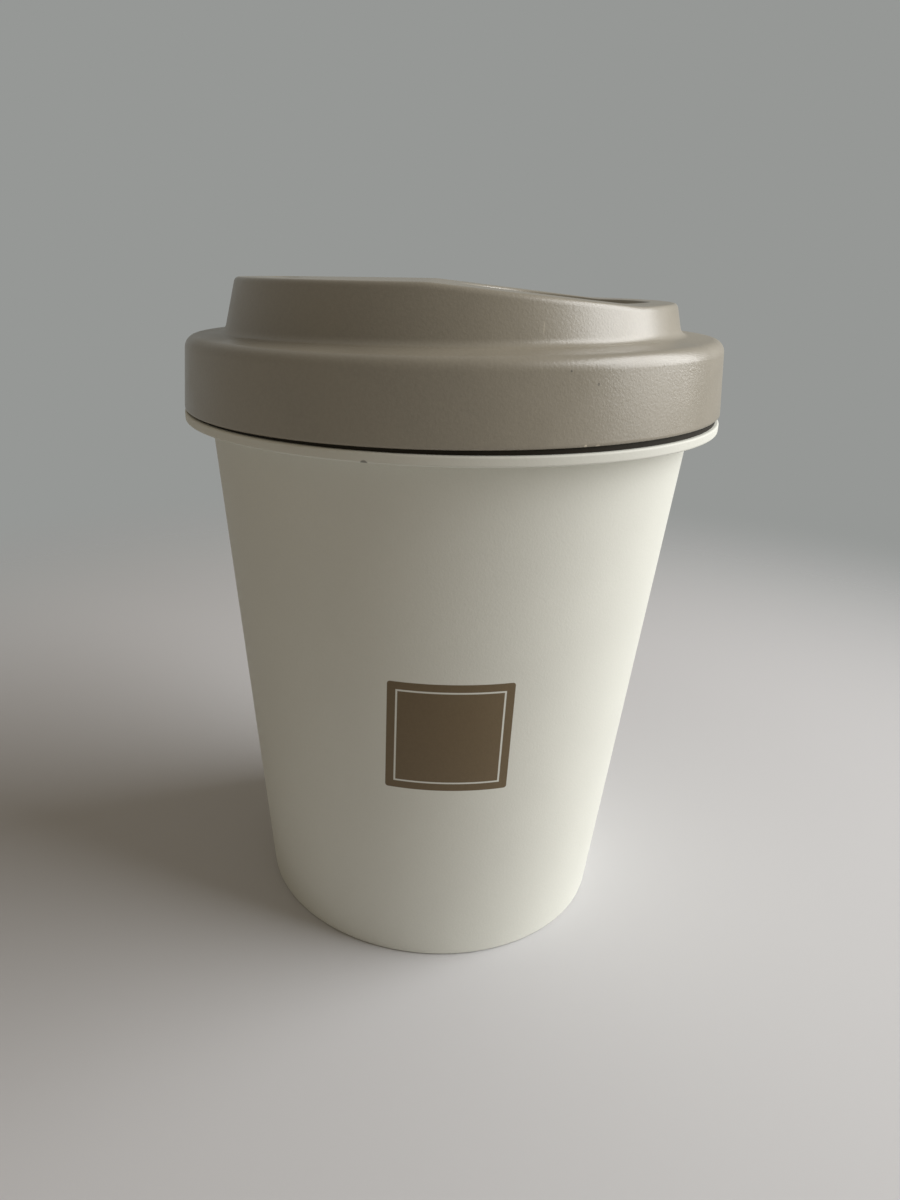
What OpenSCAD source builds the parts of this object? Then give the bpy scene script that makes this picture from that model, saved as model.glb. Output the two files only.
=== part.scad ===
// Reusable tapered mug with a push-in sip lid and a soft ring that seals the lid in the mouth and on the flange.
// Millimetres. The origin is at the centre of the foot, +Z is up, and the lid is drunk from at -X.

/* [Cup] */
// Diameter of the flange round the mouth
rim_d = 90; // [84:0.5:100]
// Diameter of the foot
foot_d = 65.3; // [58:0.1:72]
// Height from the foot to the top of the flange
cup_h = 92.5; // [75:0.5:130]
// Reach of the flange outside the wall
flange_w = 4.3; // [3.4:0.1:5]
// Thickness of the flange
flange_t = 1.5; // [1.2:0.1:2.2]
// Radius of the flange's two outer edges
flange_edge_r = 0.3; // [0.2:0.05:0.55]
// Radius under the flange, where it meets the wall
flange_root_r = 0.8; // [0.3:0.1:2]
// Thickness of the wall
wall_t = 2; // [1.5:0.1:2.6]
// Radius of the mouth's inner edge
mouth_edge_r = 0.8; // [0.3:0.1:1]
// Thickness of the floor
floor_t = 2.5; // [1.5:0.1:5]
// Radius inside, where the wall meets the floor
floor_corner_r = 4; // [1:0.5:10]

/* [Foot] */
// Depth of the hollow under the foot
foot_recess = 1; // [0.5:0.1:2]
// Width of the ring that the cup stands on
foot_ring_w = 3; // [2:0.5:6]
// Radius of the foot's edges
foot_edge_r = 0.4; // [0.2:0.1:0.8]

/* [Lid] */
// Height of the drinking ledge at its outer edge, above the skirt's lower edge
ledge_h = 20.35; // [18.5:0.05:26]
// Fall of the ledge from its outer edge to where the slope begins
ledge_fall = 0.4; // [0:0.05:0.6]
// Height of the low rim behind, above the skirt's lower edge
low_rim_h = 16.7; // [15:0.1:17.5]
// Where the ledge ends and the slope begins, from the lid's axis
slope_start_x = -3; // [-10:0.5:6]
// Where the slope reaches the low rim, from the lid's axis
slope_end_x = 26.6; // [20:0.1:32]
// Radius of the bends at both ends of the slope
slope_bend_r = 14; // [2:1:40]
// Height of the shoulder where the raised wall leaves it
shoulder_h = 12; // [10.5:0.1:13]
// Width of the shoulder, from the skirt's outer edge to the raised wall
shoulder_w = 7.3; // [6:0.1:9]
// Slope of the shoulder, in degrees
shoulder_slope = 5; // [0:1:12]
// Radius of the shoulder's outer edge
shoulder_r = 2.5; // [1:0.1:4]
// Radius of the hollow corner at the foot of the raised wall
raised_root_r = 1.5; // [0.5:0.1:2.5]
// Lean of the raised wall, in degrees
raised_lean = 13.9; // [5:0.1:18]
// Radius of the raised wall's top edge
ledge_edge_r = 0.4; // [0.2:0.1:0.8]
// Draft of the skirt, in degrees
skirt_draft = 4.3; // [0:0.1:6]
// Radius of the skirt's lower edges
skirt_edge_r = 0.4; // [0.2:0.1:0.8]
// Thickness of the lid's wall
lid_wall = 2; // [1.5:0.1:2.4]

/* [Lid seat] */
// Gap between flange and skirt at the drinking side
seat_gap = 0.25; // [0.1:0.05:1]
// Tilt of the lid as it sits in the mouth, in degrees
lid_tilt = 0.5; // [0:0.1:0.8]
// Length of the plug below the skirt's lower edge
plug_depth = 11; // [9:0.5:16]
// Thickness of the plug's wall
plug_wall = 2.4; // [2.2:0.1:3]
// Gap between the plug and the cup's wall
plug_gap = 0.6; // [0.4:0.05:1]
// Radius of the plug's lower edges
plug_edge_r = 0.6; // [0.3:0.1:0.9]

/* [Dish and holes] */
// Diameter of the dish at the height of the low rim
dish_d = 30; // [24:0.5:40]
// Height of the dish's floor above the skirt's lower edge
dish_floor_h = 11.8; // [10.5:0.1:13]
// Lean of the dish's wall, in degrees
dish_lean = 15; // [5:1:25]
// Radius where the dish's wall meets its floor
dish_corner_r = 3; // [1:0.5:4]
// Width of the low rim between the dish and the raised wall
rim_land = 4; // [1.5:0.1:6]
// Length of the sip hole, along Y
sip_l = 14; // [8:0.5:18]
// Width of the sip hole, along X
sip_w = 5.4; // [5:0.1:7]
// Distance of the sip hole's middle from the ledge's outer edge
sip_inset = 7.2; // [6.5:0.1:9]
// Diameter of the air hole in the dish's floor
vent_d = 2; // [1.5:0.1:3]
// Distance of the air hole from the dish's middle, towards the ledge
vent_inset = 7; // [3:0.5:7.5]

/* [Seal ring] */
// Height of the groove's upper edge below the skirt's lower edge
groove_drop = 3.5; // [3:0.1:4.5]
// Height of the groove
groove_h = 4; // [3.6:0.1:4.5]
// Depth of the groove in the plug's wall
groove_depth = 1.1; // [0.9:0.1:1.3]
// Gap between the ring and its groove
ring_fit = 0.08; // [0.05:0.01:0.15]
// Radius of the ring's two round lips
lip_r = 0.7; // [0.5:0.05:0.8]
// Distance between the lips
lip_pitch = 2; // [1.8:0.1:2.2]
// Gap between the lips and the cup's wall
seal_gap = 0.2; // [0.15:0.01:0.3]
// Thickness of the sleeve between the lips and the gasket
sleeve_t = 0.3; // [0.2:0.01:0.3]
// Distance of the gasket's outer face inside the skirt's outer edge
gasket_inset = 0.6; // [0.5:0.05:2]
// Gap above and below the gasket
gasket_gap = 0.03; // [0.02:0.01:0.05]

/* [Hidden] */
$fn = 180;
cream = [0.87, 0.86, 0.81];
taupe = [0.50, 0.46, 0.40];
dark_brown = [0.20, 0.19, 0.16];
// Largest turn between two neighbouring points of a rounded corner, in degrees
arc_step = 7;
// Reach of a cutting body past what it cuts
past = 1;

rim_r = rim_d / 2;
foot_r = foot_d / 2;
flange_low_z = cup_h - flange_t;
wall_top_r = rim_r - flange_w;
cup_taper = atan((wall_top_r - foot_r) / flange_low_z);
floor_z = foot_recess + floor_t;
skirt_r = rim_r;
// Height of the lid's own zero above the foot, at the lid's axis
lid_z = cup_h + seat_gap + skirt_r * sin(lid_tilt);
shoulder_edge_h = shoulder_h - shoulder_w * tan(shoulder_slope);
under_shoulder_h = shoulder_h - lid_wall / cos(shoulder_slope);
ledge_edge_x = -raised_r(ledge_h);
slope_start_h = ledge_h - ledge_fall;
plug_top_r = mouth_r(lid_z) - plug_gap;
dish_x = raised_r(low_rim_h) - rim_land - dish_d / 2;
sip_x = ledge_edge_x + sip_inset;
groove_mid_h = -groove_drop - groove_h / 2;
groove_r = plug_r(groove_mid_h) - groove_depth;

// Radius of the cup's outer wall at height z above the foot
function cup_r(z) = foot_r + z * tan(cup_taper);

// Radius of the cup's inner wall at height z above the foot
function mouth_r(z) = cup_r(z) - wall_t / cos(cup_taper);

// Radius of the skirt's outside at height h above its lower edge
function skirt_out_r(h) = skirt_r - h * tan(skirt_draft);

// Radius of the skirt's inside at height h
function skirt_in_r(h) = skirt_out_r(h) - lid_wall / cos(skirt_draft);

// Radius of the raised wall's outside at height h
function raised_r(h) = skirt_r - shoulder_w - (h - shoulder_h) * tan(raised_lean);

// Radius of the raised wall's inside at height h
function raised_in_r(h) = raised_r(h) - lid_wall / cos(raised_lean);

// Radius of the plug's outside at height h, which keeps its gap to the cup's wall
function plug_r(h) = mouth_r(lid_z + h) - plug_gap;

// Radius of the sleeve's inside at height h, which keeps its gap to the plug
function sleeve_in_r(h) = plug_r(h) + ring_fit;

// Radius of the dish at height h
function dish_r(h) = dish_d / 2 + (h - low_rim_h) * tan(dish_lean);

function unit(v) = v / norm(v);

// Tangent arc of radius r that rounds the corner b between the points a and c
function corner_arc(a, b, c, r) =
    let (
        u = unit(a - b),
        w = unit(c - b),
        half = acos(u * w) / 2,
        centre = b + unit(u + w) * r / sin(half),
        first = b + u * r / tan(half) - centre,
        last = b + w * r / tan(half) - centre,
        from = atan2(first.y, first.x),
        turn = (atan2(last.y, last.x) - from + 540) % 360 - 180,
        steps = max(2, ceil(abs(turn) / arc_step))
    )
    [for (i = [0:steps]) centre + r * [cos(from + turn * i / steps), sin(from + turn * i / steps)]];

// Outline through corners given as [x, y, radius], each rounded by its own radius
function rounded(corners) =
    let (n = len(corners), at = [for (p = corners) [p.x, p.y]])
    [for (i = [0:n - 1])
        each corners[i].z == 0 ? [at[i]] : corner_arc(at[(i + n - 1) % n], at[i], at[(i + 1) % n], corners[i].z)];

// Puts what is drawn in the lid's own frame on the cup, tilted about the drinking side
module on_cup() {
    translate([-skirt_r, 0, cup_h + seat_gap])
        rotate([0, -lid_tilt, 0])
            translate([skirt_r, 0, 0])
                children();
}

// One revolved section: foot ring, tapered wall, flange, mouth and floor
module cup() {
    color(cream)
        rotate_extrude()
            polygon(rounded([
                [0, foot_recess, 0],
                [foot_r - foot_ring_w, foot_recess, foot_edge_r],
                [foot_r - foot_ring_w, 0, foot_edge_r],
                [foot_r, 0, foot_edge_r],
                [wall_top_r, flange_low_z, flange_root_r],
                [rim_r, flange_low_z, flange_edge_r],
                [rim_r, cup_h, flange_edge_r],
                [mouth_r(cup_h), cup_h, mouth_edge_r],
                [mouth_r(floor_z), floor_z, floor_corner_r],
                [0, floor_z, 0]
            ]));
}

// Skirt, shoulder, raised wall and plug as one full turn, before its top is sloped and hollowed
module lid_outside() {
    rotate_extrude()
        polygon(rounded([
            [0, -plug_depth, 0],
            [plug_r(-plug_depth), -plug_depth, plug_edge_r],
            [plug_top_r, 0, 0],
            [plug_top_r, under_shoulder_h, lid_wall / 2],
            [skirt_in_r(under_shoulder_h), shoulder_edge_h - lid_wall, lid_wall / 2],
            [skirt_in_r(0), 0, skirt_edge_r],
            [skirt_r, 0, skirt_edge_r],
            [skirt_out_r(shoulder_edge_h), shoulder_edge_h, shoulder_r],
            [raised_r(shoulder_h), shoulder_h, raised_root_r],
            [raised_r(ledge_h), ledge_h, ledge_edge_r],
            [0, ledge_h, 0]
        ]));
}

// All that lies below the sloping top, sunk by the depth drop
module below_top(drop) {
    side = skirt_r + past;
    low = -plug_depth - past;
    ledge_slope = ledge_fall / (slope_start_x - ledge_edge_x);
    translate([0, 0, -drop])
        rotate([90, 0, 0])
            linear_extrude(2 * side, center = true)
                polygon(rounded([
                    [-side, low, 0],
                    [side, low, 0],
                    [side, low_rim_h, 0],
                    [slope_end_x, low_rim_h, slope_bend_r],
                    [slope_start_x, slope_start_h, slope_bend_r],
                    [-side, slope_start_h + (side + slope_start_x) * ledge_slope, 0]
                ]));
}

// Space inside the plug and the raised wall
module lid_inside() {
    rotate_extrude()
        polygon([
            [0, -plug_depth - past],
            [plug_r(-plug_depth) - plug_wall, -plug_depth - past],
            [plug_r(-plug_depth) - plug_wall, -plug_depth],
            [plug_top_r - plug_wall, 0],
            [plug_top_r - plug_wall, under_shoulder_h - lid_wall],
            [raised_in_r(under_shoulder_h), under_shoulder_h],
            [raised_in_r(ledge_h), ledge_h],
            [0, ledge_h]
        ]);
}

// Round dish, grown on all sides by the thickness grow
module dish(grow) {
    corner_r = dish_corner_r + grow;
    side_grow = grow / cos(dish_lean);
    top_h = ledge_h + past;
    translate([dish_x, 0, 0])
        rotate_extrude()
            polygon(rounded([
                [0, dish_floor_h - grow, 0],
                [dish_r(dish_floor_h - grow) + side_grow, dish_floor_h - grow, corner_r],
                [dish_r(top_h) + side_grow, top_h, 0],
                [0, top_h, 0]
            ]));
}

// Long hole with round ends through the drinking ledge
module sip_hole() {
    run = sip_l - sip_w;
    translate([sip_x, 0, ledge_h - lid_wall - past])
        linear_extrude(lid_wall + 2 * past) {
            square([sip_w, run], center = true);
            for (side = [-1, 1])
                translate([0, side * run / 2])
                    circle(d = sip_w);
        }
}

module vent_hole() {
    translate([dish_x - vent_inset, 0, dish_floor_h - lid_wall - past])
        cylinder(h = lid_wall + 2 * past, d = vent_d);
}

module seal_groove() {
    translate([0, 0, groove_mid_h])
        rotate_extrude()
            translate([groove_r, -groove_h / 2])
                square([groove_depth + plug_gap, groove_h]);
}

// One moulded shell: its hollow follows the sloping top and leaves the dish its own wall
module lid() {
    color(taupe)
        on_cup()
            difference() {
                intersection() {
                    lid_outside();
                    below_top(0);
                }
                difference() {
                    intersection() {
                        lid_inside();
                        below_top(lid_wall);
                    }
                    dish(lid_wall);
                }
                dish(0);
                sip_hole();
                vent_hole();
                seal_groove();
            }
}

// Section of the band in the groove, its two round lips, and the sleeve up to the gasket
module seal_section() {
    band_h = groove_h - 2 * ring_fit;
    back_r = groove_r + ring_fit;
    upper_lip_h = groove_mid_h + lip_pitch / 2;
    band_top_h = groove_mid_h + band_h / 2;
    translate([back_r, groove_mid_h - band_h / 2])
        square([groove_depth - ring_fit, band_h]);
    for (h = [upper_lip_h - lip_pitch, upper_lip_h])
        translate([mouth_r(lid_z + h) - seal_gap - lip_r, h])
            circle(r = lip_r);
    polygon([
        [back_r, upper_lip_h],
        [sleeve_in_r(upper_lip_h) + sleeve_t, upper_lip_h],
        [sleeve_in_r(-gasket_gap) + sleeve_t, -gasket_gap],
        [sleeve_in_r(-gasket_gap), -gasket_gap],
        [sleeve_in_r(band_top_h), band_top_h],
        [back_r, band_top_h]
    ]);
}

// Flat ring under the skirt, pressed to the wedge between the tilted lid and the level flange
module gasket() {
    in_r = sleeve_in_r(-gasket_gap);
    intersection() {
        on_cup()
            rotate_extrude()
                translate([in_r, -gasket_gap - past])
                    square([skirt_r - gasket_inset - in_r, past]);
        translate([0, 0, cup_h + gasket_gap])
            cylinder(h = 2 * past, r = skirt_r);
    }
}

// One soft ring that seals on the flange and in the mouth, and shows as the dark line under the lid
module seal_ring() {
    color(dark_brown) {
        on_cup()
            rotate_extrude()
                seal_section();
        gasket();
    }
}

cup();
lid();
seal_ring();
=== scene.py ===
"""Finished skins for a reusable tapered mug: its moulded cup, its sip lid and the lid's seal ring.

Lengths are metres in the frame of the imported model. The origin is at the centre of the foot, +Z is up,
and the lid is drunk from at -X. Turns round the mug start at -Y and grow towards +X.
"""

import math

import bmesh
import bpy
import numpy as np
from bpy.props import FloatProperty, FloatVectorProperty, IntProperty, PointerProperty
from bpy.types import Operator, Panel, PropertyGroup
from mathutils import Matrix, Vector


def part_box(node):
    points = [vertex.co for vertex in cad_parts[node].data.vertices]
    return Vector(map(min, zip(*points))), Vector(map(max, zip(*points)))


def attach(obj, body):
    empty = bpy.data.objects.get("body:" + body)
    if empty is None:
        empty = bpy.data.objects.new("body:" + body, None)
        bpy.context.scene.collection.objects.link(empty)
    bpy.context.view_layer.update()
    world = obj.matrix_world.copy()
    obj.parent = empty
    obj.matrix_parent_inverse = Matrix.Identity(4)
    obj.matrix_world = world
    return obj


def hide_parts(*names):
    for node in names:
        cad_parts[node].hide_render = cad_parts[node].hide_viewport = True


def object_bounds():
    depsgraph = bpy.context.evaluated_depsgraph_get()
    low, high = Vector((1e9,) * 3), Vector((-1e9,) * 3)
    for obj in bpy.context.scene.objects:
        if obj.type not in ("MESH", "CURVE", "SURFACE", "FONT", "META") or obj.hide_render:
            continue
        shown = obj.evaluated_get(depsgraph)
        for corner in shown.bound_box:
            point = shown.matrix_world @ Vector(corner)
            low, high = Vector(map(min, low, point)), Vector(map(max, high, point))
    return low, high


bl_info = {
    "name": "Tapered mug with sip lid",
    "version": (1, 0, 0),
    "blender": (4, 5, 0),
    "location": "3D View > Sidebar > Mug",
    "description": "Builds the cup, sip lid and seal ring of a reusable mug over its packed model",
    "category": "Add Mesh",
}

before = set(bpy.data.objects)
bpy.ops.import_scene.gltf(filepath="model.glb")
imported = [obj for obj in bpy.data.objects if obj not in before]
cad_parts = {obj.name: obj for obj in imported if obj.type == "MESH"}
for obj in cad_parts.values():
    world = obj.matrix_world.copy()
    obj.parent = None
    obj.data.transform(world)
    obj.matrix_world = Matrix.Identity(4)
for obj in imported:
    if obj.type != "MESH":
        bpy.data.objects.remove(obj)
CAD_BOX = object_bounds()
CUP_LOW, CUP_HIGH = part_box("cup")

MM = 0.001
# Length of the short straight stretch that keeps shading flat beside a rounded edge
HOLD = 0.12 * MM
# Radius of the circle that carries a turned section round the axis
SPINE_R = 10 * MM
# Reach of a cutting body past what it cuts
PAST = 1 * MM
# Points this close are one point
WELD = 0.001 * MM
# Passes that settle the height at which a leaning wall meets the top
MEET_PASSES = 12
# Rings over the land between raised wall and dish, the margin at its edges, and the margin's largest share
LAND_RINGS = 40
LAND_MARGIN = 1.2 * MM
LAND_MARGIN_SHARE = 0.42
# Stretch of X with the slope and its bends, and the points over it
SLOPE_STRETCH = (-8 * MM, 32 * MM)
SLOPE_POINTS = 100
# Points round a hole and over its flared edge, and the angle in degrees where the flare ends
HOLE_POINTS = 96
FLARE_END = 80
FLARE_POINTS = 7
# Points over each lip of the seal ring, and the angle in radians where the upper lip meets the sleeve
LIP_POINTS = 13
UPPER_LIP_END = 0.2
# The floor lies this far under the foot
FLOOR_DROP = 0.05 * MM

# Numbers of a Mix node's colour sockets, because its other sockets have the same names
COLOUR_A = 6
COLOUR_B = 7
MIXED_COLOUR = 2
# Grain of both plastics, and the relief of each surface
PLASTIC_GRAIN = 0.36 * MM
CUP_RELIEF = 0.022 * MM
LID_RELIEF = 0.028 * MM
RUBBER_RELIEF = 0.01 * MM
# Half the width over which the edge of the print fades
INK_FADE = 0.03 * MM
# Small marks of the lid and two painted glints of light: turn in degrees, radius, height and reach in
# millimetres, and share of its colour
LID_MARKS_AND_GLINTS = {
    "scratch on the raised wall": (19.35, 37.1, 107.7, (0.14, 1, 1.0), 1.35),
    "dark speck under the shoulder": (20.4, 44.25, 102.9, (0.16, 1, 0.16), 0.45),
    # Two painted highlights: lighter copies of the lid's colour on the skirt's lower edge
    "left painted glint on the skirt's edge": (23.8, 44.95, 93.5, (0.22, 1, 0.24), 2.2),
    "right painted glint on the skirt's edge": (26.2, 44.95, 93.48, (0.36, 1, 0.18), 1.9),
    "dark speck on the skirt": (25.6, 44.4, 101.2, (0.2, 1, 0.24), 0.55),
}
# The nick is drawn only as a dark spot of painted shade in the cup's colour; no dent is cut in the mesh.
# Nick of the cup: turn in degrees, and depth in from the rim, height above the flange's lower face and reach
# in millimetres
CUP_NICK_SHADE = (-13.4, 0.15, 0.05, (0.6, 0.8, 0.45))

# Camera, fitted to the mug's outlines: lens and sensor in millimetres, and angles in degrees
CAMERA_PLACE = (0, -152.45 * MM, 114.28 * MM)
CAMERA_LENS = 25.5
CAMERA_SENSOR_W = 36
CAMERA_SHIFT_X = 0.0598
CAMERA_TURN = 4.344
CAMERA_DOWN = 21.162
CAMERA_ROLL = 0.765


# Kinds of setting

def offset(name, description, millimetres, **limits):
    """A place along an axis, which may be negative, with its default given in millimetres."""
    return FloatProperty(
        name=name,
        description=description,
        default=millimetres * MM,
        precision=5,
        unit="LENGTH",
        **limits,
    )


def length(name, description, millimetres):
    """A length, with its default given in millimetres."""
    return offset(name, description, millimetres, min=0.0)


def angle(name, description, degrees):
    """An angle, with its default given in degrees."""
    return FloatProperty(
        name=name,
        description=description,
        default=math.radians(degrees),
        subtype="ANGLE",
    )


def whole(name, description, default, low, high):
    """A whole number with its limits."""
    return IntProperty(name=name, description=description, default=default, min=low, max=high)


def share(name, description, default):
    """A plain number from 0 to 1."""
    return FloatProperty(name=name, description=description, default=default, min=0.0, max=1.0)


def colour(name, description, red, green, blue):
    """A colour, with its default given as it looks on a screen, from 0 to 255."""
    screen = [channel / 255 for channel in (red, green, blue)]
    linear = [c / 12.92 if c <= 0.04045 else ((c + 0.055) / 1.055) ** 2.4 for c in screen]
    return FloatVectorProperty(
        name=name,
        description=description,
        default=linear,
        min=0.0,
        max=1.0,
        size=3,
        subtype="COLOR",
    )


# Settings that a user would change

class MugCupSettings(PropertyGroup):
    """Sizes and finish of the cup."""

    rim_r: length("Rim radius", "Radius of the flange round the mouth", (CUP_HIGH.x - CUP_LOW.x) / 2 / MM)
    foot_r: length("Foot radius", "Radius of the foot", 32.65)
    height: length("Height", "Height from the foot to the top of the flange", (CUP_HIGH.z - CUP_LOW.z) / MM)
    flange_w: length("Flange reach", "Reach of the flange outside the wall", 4.3)
    flange_t: length("Flange thickness", "Thickness of the flange", 1.5)
    flange_edge_r: length("Flange edge radius", "Radius of the flange's two outer edges", 0.3)
    flange_root_r: length("Flange root radius", "Radius under the flange, where it meets the wall", 0.8)
    wall_t: length("Wall thickness", "Thickness of the wall", 2.0)
    mouth_edge_r: length("Mouth edge radius", "Radius of the mouth's inner edge", 0.8)
    floor_t: length("Floor thickness", "Thickness of the floor", 2.5)
    floor_corner_r: length("Floor corner radius", "Radius inside, where the wall meets the floor", 4.0)
    foot_recess: length("Foot hollow", "Depth of the hollow under the foot", 1.0)
    foot_ring_w: length("Foot ring width", "Width of the ring that the cup stands on", 3.0)
    foot_edge_r: length("Foot edge radius", "Radius of the foot's edges", 0.4)
    cream: colour("Cup colour", "Colour of the cup's cream plastic", 230, 231, 222)
    roughness: share("Roughness", "Roughness of the cup's matt plastic", 0.62)
    print_size: length("Print size", "Width and height of the printed square", 19.8)
    print_turn: angle("Print turn", "Turn of the print's middle round the cup", 3.9)
    print_z: length("Print height", "Height of the print's middle above the foot", 46.55)
    ink: colour("Ink", "Colour of the printed square", 113, 96, 68)


class MugLidSettings(PropertyGroup):
    """Sizes and finish of the lid."""

    ledge_h: length("Ledge height", "Height of the drinking ledge at its outer edge", 20.35)
    ledge_fall: length("Ledge fall", "Fall of the ledge from its outer edge to the slope", 0.4)
    low_rim_h: length("Low rim height", "Height of the low rim above the skirt's lower edge", 16.7)
    slope_start_x: offset("Slope start", "Where the slope begins, from the lid's axis", -3.0)
    slope_end_x: offset("Slope end", "Where the slope reaches the low rim, from the lid's axis", 26.6)
    slope_bend_r: length("Slope bend radius", "Radius of the bends at both ends of the slope", 14.0)
    shoulder_h: length("Shoulder height", "Height of the shoulder at the raised wall's foot", 12.0)
    shoulder_w: length("Shoulder width", "From the skirt's outer edge to the raised wall", 7.3)
    shoulder_slope: angle("Shoulder slope", "Slope of the shoulder", 5.0)
    shoulder_r: length("Shoulder radius", "Radius of the shoulder's outer edge", 2.0)
    raised_root_r: length("Raised wall root", "Radius at the foot of the raised wall", 1.5)
    raised_lean: angle("Raised wall lean", "Lean of the raised wall", 13.9)
    ledge_edge_r: length("Ledge edge radius", "Radius of the raised wall's top edge", 0.9)
    skirt_draft: angle("Skirt draft", "Draft of the skirt", 4.3)
    skirt_edge_r: length("Skirt edge radius", "Radius of the skirt's lower edges", 0.4)
    wall: length("Lid wall", "Thickness of the lid's wall", 2.0)
    seat_gap: length("Seat gap", "Gap between flange and skirt at the drinking side", 0.25)
    tilt: angle("Lid tilt", "Tilt of the lid as it sits in the mouth", 0.5)
    plug_depth: length("Plug depth", "Length of the plug below the skirt's lower edge", 11.0)
    plug_wall: length("Plug wall", "Thickness of the plug's wall", 2.4)
    plug_gap: length("Plug gap", "Gap between the plug and the cup's wall", 0.6)
    plug_edge_r: length("Plug edge radius", "Radius of the plug's lower edges", 0.6)
    dish_r: length("Dish radius", "Radius of the dish at the height of the low rim", 15.0)
    dish_floor_h: length("Dish floor height", "Height of the dish's floor above the skirt's edge", 11.8)
    dish_lean: angle("Dish lean", "Lean of the dish's wall", 15.0)
    dish_corner_r: length("Dish corner radius", "Radius where the dish's wall meets its floor", 3.0)
    dish_edge_r: length("Dish edge radius", "Radius of the dish's top edge", 0.5)
    rim_land: length("Rim land", "Width of the low rim between the dish and the raised wall", 4.0)
    sip_l: length("Sip hole length", "Length of the sip hole, along Y", 14.0)
    sip_w: length("Sip hole width", "Width of the sip hole, along X", 5.4)
    sip_inset: length("Sip hole inset", "From the ledge's outer edge to the sip hole's middle", 7.2)
    vent_d: length("Air hole diameter", "Diameter of the air hole in the dish's floor", 2.0)
    vent_inset: length("Air hole inset", "From the dish's middle to the air hole, towards the ledge", 7.0)
    hole_edge_r: length("Hole edge radius", "Radius of the edges of both holes", 0.35)
    taupe: colour("Lid colour", "Colour of the lid's taupe plastic", 153, 146, 131)
    roughness: share("Roughness", "Roughness of the lid's satin plastic", 0.33)
    gloss: share("Gloss", "Strength of the lid's reflections", 0.85)


class MugSealSettings(PropertyGroup):
    """Sizes and finish of the seal ring: its band in the groove and its gasket under the skirt."""

    groove_drop: length("Groove drop", "From the skirt's lower edge down to the groove's upper edge", 3.5)
    groove_h: length("Groove height", "Height of the groove", 4.0)
    groove_depth: length("Groove depth", "Depth of the groove in the plug's wall", 1.1)
    groove_edge_r: length("Groove edge radius", "Radius of the groove's edges", 0.12)
    ring_fit: length("Ring fit", "Gap between the ring and its groove", 0.08)
    lip_r: length("Lip radius", "Radius of the ring's two round lips", 0.7)
    lip_pitch: length("Lip pitch", "Distance between the lips", 2.0)
    seal_gap: length("Seal gap", "Gap between the lips and the cup's wall", 0.2)
    sleeve_t: length("Sleeve thickness", "Thickness of the sleeve between the lips and the gasket", 0.3)
    gasket_inset: length("Gasket inset", "From the skirt's outer edge in to the gasket", 0.6)
    gasket_gap: length("Gasket gap", "Gap above and below the gasket", 0.03)
    gasket_edge_r: length("Gasket edge radius", "Radius of the gasket's outer edges", 0.05)
    dark_brown: colour("Seal colour", "Colour of the seal ring's soft rubber", 40, 35, 25)
    roughness: share("Roughness", "Roughness of the seal ring's soft rubber", 0.62)
    gloss: share("Gloss", "Strength of the seal ring's reflections", 0.2)


class MugStageSettings(PropertyGroup):
    """Fineness of the meshes, and the floor, background, light and camera."""

    segments: whole("Segments", "Segments round every turned form", 256, 32, 512)
    corner_steps: whole("Corner steps", "Steps over each rounded edge", 8, 2, 24)
    floor_r: length("Floor radius", "Radius of the floor", 900.0)
    fade_start: length("Fade start", "Distance at which the floor starts to fade into the background", 110.0)
    fade_end: length("Fade end", "Distance at which the floor has faded", 330.0)
    floor: colour("Floor colour", "Colour of the pale floor", 210, 210, 212)
    background: colour("Background colour", "Colour behind the mug", 150, 152, 150)
    fill: FloatProperty(name="Fill", description="Strength of the even light", default=0.2, min=0.0)
    fill_tint: colour("Fill tint", "Colour of the even light", 255, 238, 212)
    key: FloatProperty(name="Key", description="Power of the soft lamp", default=6.4, min=0.0, unit="POWER")
    key_turn: angle("Key turn", "Turn of the soft lamp round the mug", 90.0)
    key_rise: angle("Key rise", "Height of the soft lamp above the mug's middle, as an angle", 29.0)
    key_far: length("Key distance", "Distance of the soft lamp from the mug's middle", 700.0)
    key_size: length("Key size", "Width and height of the soft lamp", 640.0)


# Forms that the pieces share

class CupForm:
    """Lines of the cup's wall, from the cup's settings."""

    def __init__(self, cup):
        self.flange_low_z = cup.height - cup.flange_t
        self.wall_top_r = cup.rim_r - cup.flange_w
        self.slope = (self.wall_top_r - cup.foot_r) / self.flange_low_z
        self.foot_r = cup.foot_r
        self.wall_run = cup.wall_t * math.hypot(1, self.slope)

    def outer_r(self, z):
        """Radius of the wall's outside at a height above the foot."""
        return self.foot_r + z * self.slope

    def mouth_r(self, z):
        """Radius of the wall's inside at a height above the foot."""
        return self.outer_r(z) - self.wall_run


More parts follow.
